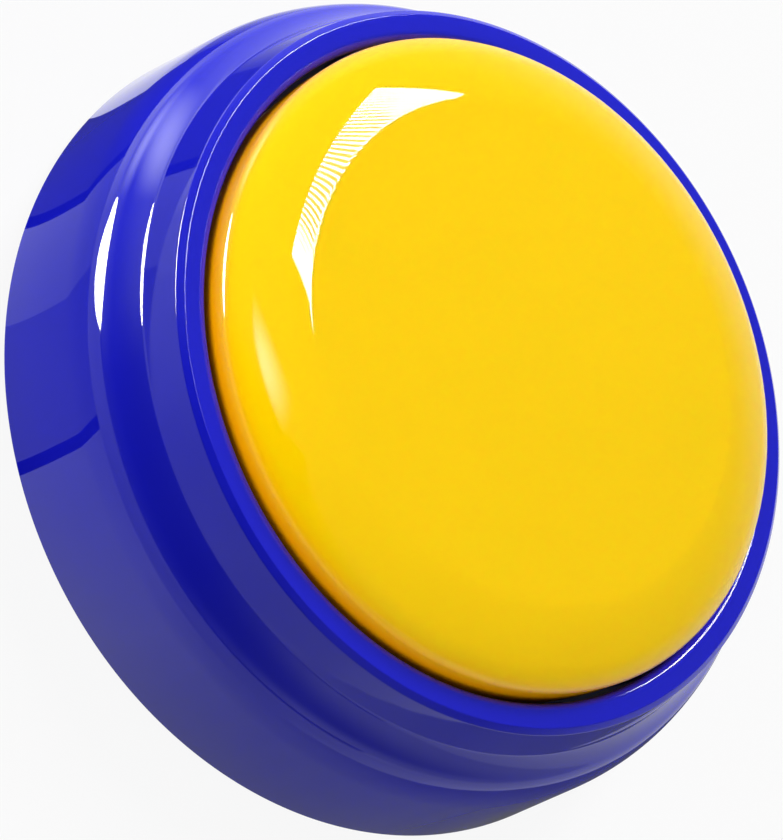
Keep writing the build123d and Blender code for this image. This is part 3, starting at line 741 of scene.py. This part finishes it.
@dataclass
class PressCap:
    """Domed press cap: skirt, rim, shoulder, slope, flat crown and what stands inside it."""
    levels: Levels
    radius: float = 35.4
    skirt_low: float = 20.6
    skirt_high: float = 26.54
    rim_radius: float = 1.6
    shoulder_radius: float = 6.0
    break_radius: float = 4.0
    crown_edge: float = 27.0
    turns: tuple[float, ...] = (0.0, 45.0, 68.0, 81.0, 86.5, 90.0)
    steps: tuple[int, ...] = (16, 12, 18, 10, 24)
    wall: float = 1.8
    foot_round: float = 0.3
    plunger: tuple[float, float, float] = (2.5, 21.05, 0.3)
    rib: tuple[float, float, float] = (1.2, 13.0, 3.0)
    seat_radius: float = 3.8
    seat_depth: float = 2.0
    seat_soft: float = 0.2
    peg_low: float = 23.5
    peg_soft: float = 0.25
    leg: tuple[float, float] = (6.0, 1.6)
    leg_bite: float = 0.35
    hook: tuple[float, float, float, float] = (1.1, 15.4, 14.6, 13.2)
    hook_sink: float = 0.1

    def slope_radius(self) -> float:
        """Works out the radius of the slope between the shoulder and the break.

        Returns:
            The radius.
        """
        turns = self.turns
        run = (self.radius - self.crown_edge - self.rim_radius * (1 - cosd(turns[1]))
               - self.shoulder_radius * (cosd(turns[1]) - cosd(turns[2]))
               - self.break_radius * (cosd(turns[3]) - cosd(turns[4])))
        return run / (cosd(turns[2]) - cosd(turns[3]))

    def shell(self) -> tuple[bmesh.types.BMesh, float]:
        """Turns the cap's shell.

        Returns:
            Its mesh and the height of its apex.
        """
        turns = self.turns
        arcs = (self.rim_radius, self.shoulder_radius, self.slope_radius(), self.break_radius,
                self.crown_edge / cosd(turns[4]))
        pen = Pen((self.radius - self.foot_round, self.skirt_low))
        pen.bend(self.foot_round, -90, 0, ROUND_STEPS)
        pen.to((self.radius, self.skirt_high))
        marks = []
        for radius, start, end, steps in zip(arcs, turns, turns[1:], self.steps):
            pen.bend(radius, start, end, steps)
            marks.append(pen.point)
        apex = pen.point[1]
        pen.to((0, apex - self.wall))
        for mark, turn in ((marks[3], turns[4]), (marks[2], turns[3]), (marks[1], turns[2])):
            pen.to(inset(mark, turn, self.wall))
        pen.to((self.radius - self.wall, self.skirt_high))
        pen.to((self.radius - self.wall, self.skirt_low))
        pen.to((self.radius - self.foot_round, self.skirt_low))
        return pen.turn(self.levels.around), apex

    def add_inside(self, mesh: bmesh.types.BMesh, apex: float) -> None:
        """Adds the plunger, ribs, spring seats, pegs and snap legs.

        Args:
            mesh: mesh of the shell.
            apex: height of the shell's top.
        """
        under, ceiling = apex - self.wall, apex - self.wall / 2
        radius, low, soft = self.plunger
        add_post(mesh, (0, 0), radius, (low, ceiling), soft)
        thick, reach, depth = self.rib
        for turn in range(0, 360, 90):
            add_block(mesh, (0, reach), (-thick / 2, thick / 2), (under - depth, ceiling), turn)
        for angle in self.levels.spring_angles:
            seat, low = spot(self.levels.spring_circle, angle), under - self.seat_depth
            add_post(mesh, seat, self.seat_radius, (low, ceiling - SINK), self.seat_soft)
            add_post(mesh, seat, self.levels.peg_radius, (self.peg_low, low + SINK),
                     self.peg_soft)
        outer = self.radius - self.wall + self.leg_bite
        width, thick = self.leg
        reach, high, land, low = self.hook
        for angle in self.levels.leg_angles:
            side = (-width / 2, width / 2)
            add_block(mesh, (outer - thick, outer), side, (low, self.skirt_high), angle)
            hook = add_block(mesh, (outer - self.hook_sink, outer + reach), side, (low, high),
                             angle)
            rim = [vert for vert in hook if vert.co.z < (low + high) / 2
                   and math.hypot(vert.co.x, vert.co.y) > outer + reach / 2]
            bmesh.ops.translate(mesh, verts=rim, vec=(0, 0, land - low))

    def make(self) -> None:
        """Builds the cap and hands it over."""
        mesh, apex = self.shell()
        self.add_inside(mesh, apex)
        hand_over(finish_piece("press_cap", mesh, YELLOW.make()), Body.CAP, "yellow_cap",
                  "dome_cap")


@dataclass
class BaseShell:
    """Stepped base: foot, shoulder, ledge, collar, lip and well, with the deck and its bosses."""
    levels: Levels
    wall_height: float = 11.1
    draft: float = 3.6
    foot_round: float = 0.25
    shoulder: tuple[float, float] = (13.0, 24.0)
    brow: tuple[float, float] = (4.0, 46.0)
    root: tuple[float, float] = (1.6, 32.0)
    collar_draft: float = 14.0
    collar_radius: float = 39.3
    bevel: tuple[float, float] = (0.65, 0.54)
    edge_round: float = 0.27
    lip_round: float = 1.0
    wall: float = 2.2
    deck_hole: float = 5.5
    deck_ring: float = 1.7
    peg_high: float = 20.0
    peg_soft: float = 0.3
    boss_radius: float = 2.6
    boss_low: float = 3.2
    boss_drop: float = 1.5
    boss_circle: float = 38.5
    boss_angles: tuple[float, ...] = (20.0, 160.0, 250.0, 290.0)
    boss_rib: float = 2.0
    steps: tuple[int, ...] = (5, 16, 14, 16, 8, 12)
    posts: tuple[Point, ...] = ((-11.5, -3.0), (11.5, -3.0), (-11.5, 17.5), (11.5, 17.5))
    post_radius: float = 2.2
    post_low: float = 14.0
    slot_reach: tuple[float, float] = (30.85, 34.35)
    slot_half: float = 3.4
    slot_over: float = 0.7

    def ledge(self, brow: Point) -> tuple[Point, float]:
        """Finds where the ledge from the brow meets the fillet at the collar's root.

        Args:
            brow: where the brow ends.

        Returns:
            The ledge's lower end and its radius.
        """
        root_radius, root_turn = self.root
        mean = (self.brow[1] + root_turn) / 2
        along = Vector((-sind(mean), cosd(mean)))
        rise = Vector((-sind(self.collar_draft), cosd(self.collar_draft)))
        fillet = root_radius * Vector((cosd(root_turn) - cosd(self.collar_draft),
                                       sind(root_turn) - sind(self.collar_draft)))
        collar = Vector((self.collar_radius, self.levels.lip - self.bevel[1]))
        gap = collar - fillet - Vector(brow)
        reach = (gap.x * rise.y - gap.y * rise.x) / (along.x * rise.y - along.y * rise.x)
        end = Vector(brow) + reach * along
        return (end.x, end.y), reach / (2 * sind((self.brow[1] - root_turn) / 2))

    def shell(self) -> bmesh.types.BMesh:
        """Turns the moulding: outside, lip, well, deck and the hollow below it.

        Returns:
            Its mesh.
        """
        low, lip, well = self.levels.foot_stand, self.levels.lip, self.levels.well_radius
        foot, steps = self.levels.foot_radius, self.steps
        start = (foot - self.foot_round, low)
        pen = Pen(start)
        pen.bend(self.foot_round, -90, self.draft, steps[0])
        foot_top = (foot - self.wall_height * math.tan(math.radians(self.draft)),
                    low + self.wall_height)
        pen.to(foot_top)
        pen.bend(self.shoulder[0], self.draft, self.shoulder[1], steps[1])
        shoulder = pen.point
        pen.bend(self.brow[0], self.shoulder[1], self.brow[1], steps[2])
        brow = pen.point
        ledge_end, ledge_radius = self.ledge(brow)
        pen.bend(ledge_radius, self.brow[1], self.root[1], steps[3])
        pen.bend(self.root[0], self.root[1], self.collar_draft, steps[4])
        slope = math.degrees(math.atan2(self.bevel[0], self.bevel[1]))
        pen.corner((self.collar_radius, lip - self.bevel[1]), self.edge_round,
                   self.collar_draft, slope)
        pen.corner((self.collar_radius - self.bevel[0], lip), self.edge_round, slope, 90)
        pen.to((well + self.lip_round, lip))
        pen.bend(self.lip_round, 90, 180, steps[5])
        core, ring = inset(ledge_end, self.root[1], self.wall), well + self.deck_ring
        high, under = self.levels.deck_high, self.levels.deck_low
        for point in ((well, high), (self.deck_hole, high), (self.deck_hole, under),
                      (ring, under), (ring, core[1]), core,
                      inset(brow, self.brow[1], self.wall),
                      inset(shoulder, self.shoulder[1], self.wall),
                      inset(foot_top, self.draft, self.wall), (foot - self.wall, low), start):
            pen.to(point)
        return pen.turn(self.levels.around)

    def slots(self) -> bmesh.types.BMesh:
        """Makes the cutter for the slots that the cap's legs pass.

        Returns:
            Its mesh.
        """
        tool = bmesh.new()
        for angle in self.levels.leg_angles:
            add_block(tool, self.slot_reach, (-self.slot_half, self.slot_half),
                      (self.levels.deck_low - self.slot_over,
                       self.levels.deck_high + self.slot_over), angle)
        return tool

    def fittings(self) -> bmesh.types.BMesh:
        """Makes the deck's spring pegs, the board posts and the ribbed screw bosses under it.

        Returns:
            Their mesh.
        """
        mesh = bmesh.new()
        for angle in self.levels.spring_angles:
            add_post(mesh, spot(self.levels.spring_circle, angle), self.levels.peg_radius,
                     (self.levels.deck_high - SINK, self.peg_high), self.peg_soft)
        for centre in self.posts:
            add_post(mesh, centre, self.post_radius,
                     (self.post_low, self.levels.deck_low + SINK))
        for angle in self.boss_angles:
            add_post(mesh, spot(self.boss_circle, angle), self.boss_radius,
                     (self.boss_low, self.levels.deck_low - self.boss_drop))
            add_block(mesh, (self.boss_circle, self.levels.foot_radius - self.wall / 2),
                      (-self.boss_rib / 2, self.boss_rib / 2),
                      (self.boss_low, self.levels.foot_stand + self.wall_height), angle)
        return mesh

    def make(self) -> None:
        """Builds the base and hands it over."""
        blue = BLUE.make()
        shell = finish_piece("base_moulding", self.shell(), blue)
        cut_away(shell, self.slots())
        hand_over(shell, Body.BASE, "blue_shell", "base_shell")
        hand_over(finish_piece("base_bosses", self.fittings(), blue), Body.BASE, "blue_shell",
                  "base_shell")


@dataclass
class ReturnSprings:
    """Coil springs between the deck and the cap."""
    levels: Levels
    coil_radius: float = 2.7
    wire_radius: float = 0.3
    wire_sides: int = 12
    coils: int = 5
    steps: int = 28
    top: float = 27.6
    crease: float = 60.0

    def make(self) -> None:
        """Winds the springs."""
        mesh = bmesh.new()
        deck = self.levels.deck_high
        low, high = deck + self.wire_radius, self.top - self.wire_radius
        count = self.coils * self.steps
        stood_up = Matrix.Rotation(math.pi / 2, 4, "X")
        for angle in self.levels.spring_angles:
            ring = bmesh.ops.create_circle(mesh, segments=self.wire_sides,
                                           radius=self.wire_radius)["verts"]
            placed(mesh, ring, Matrix.Translation((self.coil_radius, 0, low)) @ stood_up)
            edges = list({edge for vert in ring for edge in vert.link_edges})
            bmesh.ops.spin(mesh, geom=ring + edges, cent=(0, 0, 0), axis=(0, 0, 1),
                           dvec=(0, 0, (high - low) / count), angle=math.tau * self.coils,
                           space=Matrix(), steps=count)
            open_ends = [edge for edge in mesh.edges if edge.is_boundary]
            bmesh.ops.holes_fill(mesh, edges=open_ends, sides=0)
            fresh = [vert for vert in mesh.verts if not vert.tag]
            bmesh.ops.translate(mesh, verts=fresh,
                                vec=(*spot(self.levels.spring_circle, angle), 0))
            for vert in fresh:
                vert.tag = True
        piece = finish_piece("coil_springs", mesh, SPRING.make(), self.crease)
        hand_over(piece, Body.BASE, "spring_steel", "return_springs")
        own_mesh(piece)


@dataclass
class Dressing:
    """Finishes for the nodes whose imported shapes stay."""
    finishes: dict[str, Finish] = field(default_factory=lambda: {
        "bottom_cover": COVER, "battery_door": COVER, "battery_door_screw": ZINC,
        "cover_screws": ZINC, "rubber_feet": RUBBER, "circuit_board": LAMINATE,
        "board_screws": ZINC, "voice_chip": RESIN, "board_capacitor": CAN,
        "board_resistors": RESIN, "tact_switch_body": SWITCH, "tact_switch_stem": STEM,
        "speaker_frame": BASKET, "speaker_cone": CONE, "speaker_magnet": MAGNET,
        "speaker_terminal_strip": LAMINATE, "speaker_screws": ZINC, "battery_cells": CELL,
        "battery_positive_contact": CONTACT, "battery_negative_contact": CONTACT,
        "battery_bridge_contact": CONTACT, "battery_lead_red": RED, "battery_lead_black": BLACK,
        "speaker_lead_red": RED, "speaker_lead_black": BLACK})

    def make(self) -> None:
        """Gives each node its finish."""
        made = {finish: finish.make() for finish in dict.fromkeys(self.finishes.values())}
        for name, finish in self.finishes.items():
            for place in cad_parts[name].material_slots:
                place.material = made[finish]
            LOG.info("%s: %s", name, finish.name)


# ---------------------------------------------------------------- studio


@dataclass(frozen=True)
class Louvre:
    """Level slats over a lamp's face, which leave its top clear."""
    slats: int = 40
    lift: float = 0.30
    least: float = 0.05
    gain: float = 2.2
    clear_from: float = 0.83
    clear_rise: float = 40.0

    def strength(self, wires: Wiring, face: bpy.types.Node) -> Socket:
        """Wires how bright each point of the lamp's face is.

        Args:
            wires: the lamp's wiring.
            face: node that gives the place across and up the face, 0 to 1.

        Returns:
            The strength's socket.
        """
        up = face.outputs[1]
        wave = wires.maths("SINE", wires.maths("MULTIPLY", up, self.slats * math.tau))
        gaps = wires.maths("MAXIMUM", wires.maths("ADD", wave, self.lift), self.least)
        clear = wires.maths("SUBTRACT", up, self.clear_from)
        clear = wires.maths("MAXIMUM", wires.maths("MULTIPLY", clear, self.clear_rise), 0.0)
        return wires.maths("MAXIMUM", wires.maths("MINIMUM", clear, 1.0),
                           wires.maths("MULTIPLY", gaps, self.gain))


@dataclass(frozen=True)
class Veil:
    """Cloth over a lamp's face: bright in the middle, fading to its edges."""
    fall: float = 1.5
    gain: float = 1.6

    def strength(self, wires: Wiring, face: bpy.types.Node) -> Socket:
        """Wires how bright each point of the lamp's face is.

        Args:
            wires: the lamp's wiring.
            face: node that gives the place across and up the face, 0 to 1.

        Returns:
            The strength's socket.
        """
        sides = [wires.maths("SINE", wires.maths("MULTIPLY", place, math.pi))
                 for place in face.outputs[:2]]
        spread = wires.maths("POWER", wires.maths("MULTIPLY", *sides), self.fall)
        return wires.maths("MULTIPLY", spread, self.gain)


@dataclass(frozen=True)
class Lamp:
    """Flat lamp that faces the object."""
    name: str
    azimuth: float
    elevation: float
    distance: float
    size: tuple[float, float]
    power: float
    seen: Seen = Seen.ALL
    shade: Shade = Shade.EVEN
    aim: tuple[float, float, float] = (0.0, 0.0, 0.028)
    only: str = ""
    outline: Outline = Outline.PANE

    def make(self) -> None:
        """Hangs the lamp."""
        light = bpy.data.lights.new(self.name, "AREA")
        light.shape, light.energy = self.outline.value, self.power
        light.size, light.size_y = self.size
        if self.shade is not Shade.EVEN:
            self.cover(light, Louvre() if self.shade is Shade.SLATS else Veil())
        away = heading(self.azimuth, self.elevation)
        across = Vector((0, 0, 1)).cross(away).normalized()
        turn = Matrix((across, away.cross(across), away)).transposed().to_4x4()
        lamp = in_scene(self.name, light)
        lamp.matrix_world = Matrix.Translation(Vector(self.aim) + away * self.distance) @ turn
        lamp.visible_camera = False
        lamp.visible_diffuse = self.seen is not Seen.SHEEN
        lamp.visible_glossy = self.seen is not Seen.FILL
        if self.only:
            alone = bpy.data.collections.new(self.name)
            alone.objects.link(bpy.data.objects[self.only])
            lamp.light_linking.receiver_collection = alone

    def cover(self, light: bpy.types.Light, front: Louvre | Veil) -> None:
        """Puts slats or cloth over the lamp's face.

        Args:
            light: the lamp's light.
            front: what covers it.
        """
        light.use_nodes = True
        wires = Wiring(light.node_tree)
        face = wires.add("NewGeometry", {}).outputs["Parametric"]
        strength = front.strength(wires, wires.add("SeparateXYZ", {0: face}))
        wires.tree.links.new(strength, wires.tree.nodes["Emission"].inputs["Strength"])


@dataclass(frozen=True)
class Card:
    """Card on the floor that only the gloss shows, with edges that the foot mirrors upright."""
    start: float
    end: float
    levels: tuple[float, ...]
    near: float = 0.3
    far: float = 40.0
    steps: int = 24
    mottle: float = 25.0
    mottle_span: Point = (0.9, 1.1)

    def level(self, share: float) -> float:
        """Works out how bright the card is along its width.

        Args:
            share: share of the way from its start to its end.

        Returns:
            The brightness.
        """
        place = share * (len(self.levels) - 1)
        index = min(int(place), max(len(self.levels) - 2, 0))
        after = self.levels[min(index + 1, len(self.levels) - 1)]
        return self.levels[index] + (place - index) * (after - self.levels[index])

    def lay(self, foot: float, towards: float, height: float) -> None:
        """Lays the card.

        Args:
            foot: radius of the foot, in millimetres.
            towards: azimuth that its edges are mirrored to, in degrees.
            height: height of the card, in millimetres.
        """
        mesh = bmesh.new()
        bmesh.ops.create_grid(mesh, x_segments=self.steps, y_segments=1, size=0.5)
        glow = mesh.verts.layers.float.new("glow")
        for vert in mesh.verts:
            share = vert.co.x + 0.5
            vert[glow] = self.level(share)
            angle = self.start + share * (self.end - self.start)
            reach = self.near if vert.co.y < 0 else self.far
            away = foot * heading(angle, 0.0) + reach * heading(2 * angle - towards, 0.0)
            vert.co = away * MM
            vert.co.z = height * MM
        data = mesh_data("card", mesh)
        material = bpy.data.materials.new("card")
        nodes = Nodes(material)
        level = nodes.add("Attribute", {}, attribute_name="glow").outputs["Fac"]
        mottle = nodes.span(nodes.noise(self.mottle), *self.mottle_span)
        lit = nodes.add("Emission", {"Strength": nodes.maths("MULTIPLY", level, mottle)})
        nodes.tree.links.new(lit.outputs[0], nodes.output.inputs["Surface"])
        data.materials.append(material)
        card = in_scene("card", data)
        for ray in ("camera", "diffuse", "transmission", "volume_scatter", "shadow"):
            setattr(card, "visible_" + ray, False)


@dataclass
class Studio:
    """Pale floor, soft room, lamps and the camera."""
    levels: Levels
    floor_size: float = 2.5
    floor_sides: int = 96
    floor_drop: float = 0.00003
    floor_tone: Point = (0.51, 0.53)
    floor_mottle: float = 3.0
    floor_rough: float = 0.9
    floor_glow: float = 0.92
    table_reach: Point = (0.036, 0.042)
    table_glow: float = 0.85
    card_height: float = 0.5
    card_step: float = 0.01
    lamps: tuple[Lamp, ...] = (
        Lamp("window", 121.4, 50.6, 1.0, (0.25, 0.505), 8.2, shade=Shade.SLATS),
        Lamp("side_window", 206.0, 0.0, 0.095, (0.0455, 0.0230), 0.115, Seen.SHEEN,
             aim=(0.0093, -0.0199, 0.0113), outline=Outline.OVAL),
        Lamp("side_screen", 170.0, 0.0, 0.120, (0.068, 0.056), 0.034, Seen.SHEEN, Shade.SOFT,
             aim=(-0.0083, -0.0391, 0.0285)),
        Lamp("soft_box", 195.0, 75.0, 1.0, (0.26, 0.36), 1.5, Seen.SHEEN, Shade.SOFT),
        Lamp("side_fill", 203.0, 12.0, 1.0, (0.6, 0.5), 6.2, Seen.FILL),
        Lamp("top_fill", 292.0, 42.0, 1.2, (0.9, 0.9), 1.6, Seen.FILL),
        Lamp("cap_fill", 276.0, 15.0, 1.0, (1.6, 0.5), 7.2, Seen.FILL, only="press_cap"),
    )
    cards: tuple[Card, ...] = (
        Card(200.0, 219.3, (0.06, 0.10)),
        Card(219.3, 221.3, (0.0,)),
        Card(221.3, 236.0, (0.55,)),
        Card(236.0, 254.6, (0.28, 0.42)),
        Card(254.6, 256.4, (0.0,)),
        Card(256.4, 396.0, (0.85, 0.95, 0.62, 0.34, 0.16, 0.10, 0.12, 0.90)),
        Card(184.0, 200.0, (0.9, 0.5, 0.15), 20.0, 40.0),
        Card(206.0, 230.0, (0.9, 1.8, 1.8, 0.9), 34.0, 100.0),
        Card(238.0, 318.0, (0.9, 0.6, 0.6, 0.9), 40.0, 150.0),
        Card(238.0, 306.0, (0.3, 0.1, 0.1, 0.3), 150.0, 1500.0),
    )
    horizon: tuple[Point, ...] = (
        (0.0, 0.80), (60.0, 0.90), (120.0, 1.0), (165.0, 1.1), (200.0, 1.0), (216.0, 0.85),
        (232.0, 0.20), (250.0, 0.10), (285.0, 0.10), (305.0, 0.35), (325.0, 0.90),
        (345.0, 0.90), (360.0, 0.80),
    )
    wall_rise: Point = (0.05, 0.50)
    wall_tone: Point = (0.82, 0.24)
    lens: float = 158.13
    sensor: float = 36.0
    clip: Point = (0.01, 20.0)
    aim: tuple[float, float, float] = (0.549, -7.683, 15.0)
    distance: float = 386.17
    azimuth: float = -90.121
    elevation: float = 49.658
    roll: float = 64.621

    def lay_floor(self) -> None:
        """Lays the floor: pale of itself, with the object's shadow, and clear from below."""
        mesh = bmesh.new()
        made = bmesh.ops.create_circle(mesh, cap_ends=True, segments=self.floor_sides,
                                       radius=self.floor_size)["verts"]
        placed(mesh, made, Matrix.Translation((0, 0, -self.floor_drop)))
        data = mesh_data("floor", mesh)
        material = bpy.data.materials.new("pale floor")
        nodes = Nodes(material)
        nodes.feed("Base Color", nodes.span(nodes.noise(self.floor_mottle), *self.floor_tone))
        nodes.shader.inputs["Roughness"].default_value = self.floor_rough
        nodes.shader.inputs["Specular IOR Level"].default_value = 0.0
        rays = nodes.add("LightPath", {}).outputs
        seen = nodes.maths("MAXIMUM", rays["Is Camera Ray"],
                           nodes.maths("MAXIMUM", rays["Is Glossy Ray"],
                                       rays["Is Transmission Ray"]))
        reach = nodes.add("VectorMath", {0: nodes.place}, operation="LENGTH").outputs["Value"]
        glow = nodes.add("Emission", {}, Strength=1.0)
        table = nodes.maths("MULTIPLY", nodes.span(reach, self.table_glow, 0.0,
                                                   *self.table_reach), rays["Is Diffuse Ray"])
        share = nodes.maths("MAXIMUM", nodes.maths("MULTIPLY", seen, self.floor_glow), table)
        pale = nodes.add("MixShader", {0: share, 1: nodes.shader.outputs[0], 2: glow.outputs[0]})
        below = nodes.add("NewGeometry", {}).outputs["Backfacing"]
        clear = nodes.add("BsdfTransparent", {}).outputs[0]
        whole = nodes.add("MixShader", {0: below, 1: pale.outputs[0], 2: clear})
        nodes.tree.links.new(whole.outputs[0], nodes.output.inputs["Surface"])
        data.materials.append(material)
        in_scene("floor", data)

    def lay_cards(self) -> None:
        """Lays the cards, each a hair below the one before it."""
        for index, card in enumerate(self.cards):
            drop = self.floor_drop / MM * (self.card_height + self.card_step * index)
            card.lay(self.levels.foot_radius, self.azimuth, -drop)

    def light_room(self) -> None:
        """Lights the room: bright low walls, a dimmer ceiling, and a dark side by the camera."""
        world = bpy.data.worlds.new("room")
        bpy.context.scene.world = world
        world.use_nodes = True
        wires = Wiring(world.node_tree)
        wires.tree.nodes.clear()
        x, y, z = wires.add("SeparateXYZ", {0: wires.add("TexCoord", {}).outputs["Generated"]}
                            ).outputs
        height = wires.add("MapRange", {"Value": z}, From_Min=self.wall_rise[0],
                           From_Max=self.wall_rise[1], To_Min=self.wall_tone[0],
                           To_Max=self.wall_tone[1], interpolation_type="SMOOTHSTEP")
        turn = wires.maths("DIVIDE", wires.maths("ARCTAN2", y, x), math.tau)
        side = wires.add("ValToRGB", {0: wires.maths("FRACT", turn)})
        stops = side.color_ramp.elements
        while len(stops) < len(self.horizon):
            stops.new(0.5)
        for stop, (azimuth, strength) in zip(stops, self.horizon):
            stop.position = azimuth / 360.0
            stop.color = (strength, strength, strength, 1)
        level = wires.maths("MULTIPLY", height.outputs[0], side.outputs[0])
        room = wires.add("Background", {"Strength": level}, Color=(1, 1, 1, 1))
        white = wires.add("Background", {}, Color=(1, 1, 1, 1), Strength=1.0)
        rays = wires.add("LightPath", {}).outputs
        clear = wires.maths("MAXIMUM", rays["Is Camera Ray"], rays["Is Transmission Ray"])
        mix = wires.add("MixShader", {0: clear, 1: room.outputs[0], 2: white.outputs[0]})
        wires.add("OutputWorld", {"Surface": mix.outputs[0]})

    def place_camera(self) -> None:
        """Places the camera and sets plain colours."""
        away = heading(self.azimuth, self.elevation)
        right = (-away).cross(Vector((0, 0, 1))).normalized()
        upward = right.cross(-away)
        across = right * cosd(self.roll) + upward * sind(self.roll)
        aloft = upward * cosd(self.roll) - right * sind(self.roll)
        data = bpy.data.cameras.new("camera")
        data.lens, data.sensor_width, data.sensor_fit = self.lens, self.sensor, "AUTO"
        data.clip_start, data.clip_end = self.clip
        camera = in_scene("camera", data)
        turn = Matrix((across, aloft, away)).transposed().to_4x4()
        place = (Vector(self.aim) + away * self.distance) * MM
        camera.matrix_world = Matrix.Translation(place) @ turn
        bpy.context.scene.camera = camera
        bpy.context.scene.view_settings.view_transform = "Standard"

    def make(self) -> None:
        """Sets the whole studio up, after the pieces that its lamps are for."""
        self.lay_floor()
        self.lay_cards()
        self.light_room()
        for lamp in self.lamps:
            lamp.make()
        self.place_camera()


def main() -> None:
    """Builds every sub-assembly and the studio."""
    logging.basicConfig(level=logging.INFO, format="%(name)s %(message)s")
    levels = Levels()
    for assembly in (BaseShell(levels), PressCap(levels), ReturnSprings(levels), Dressing(),
                     Studio(levels)):
        assembly.make()
        LOG.info("made %s", type(assembly).__name__)


if __name__ == "__main__":
    main()
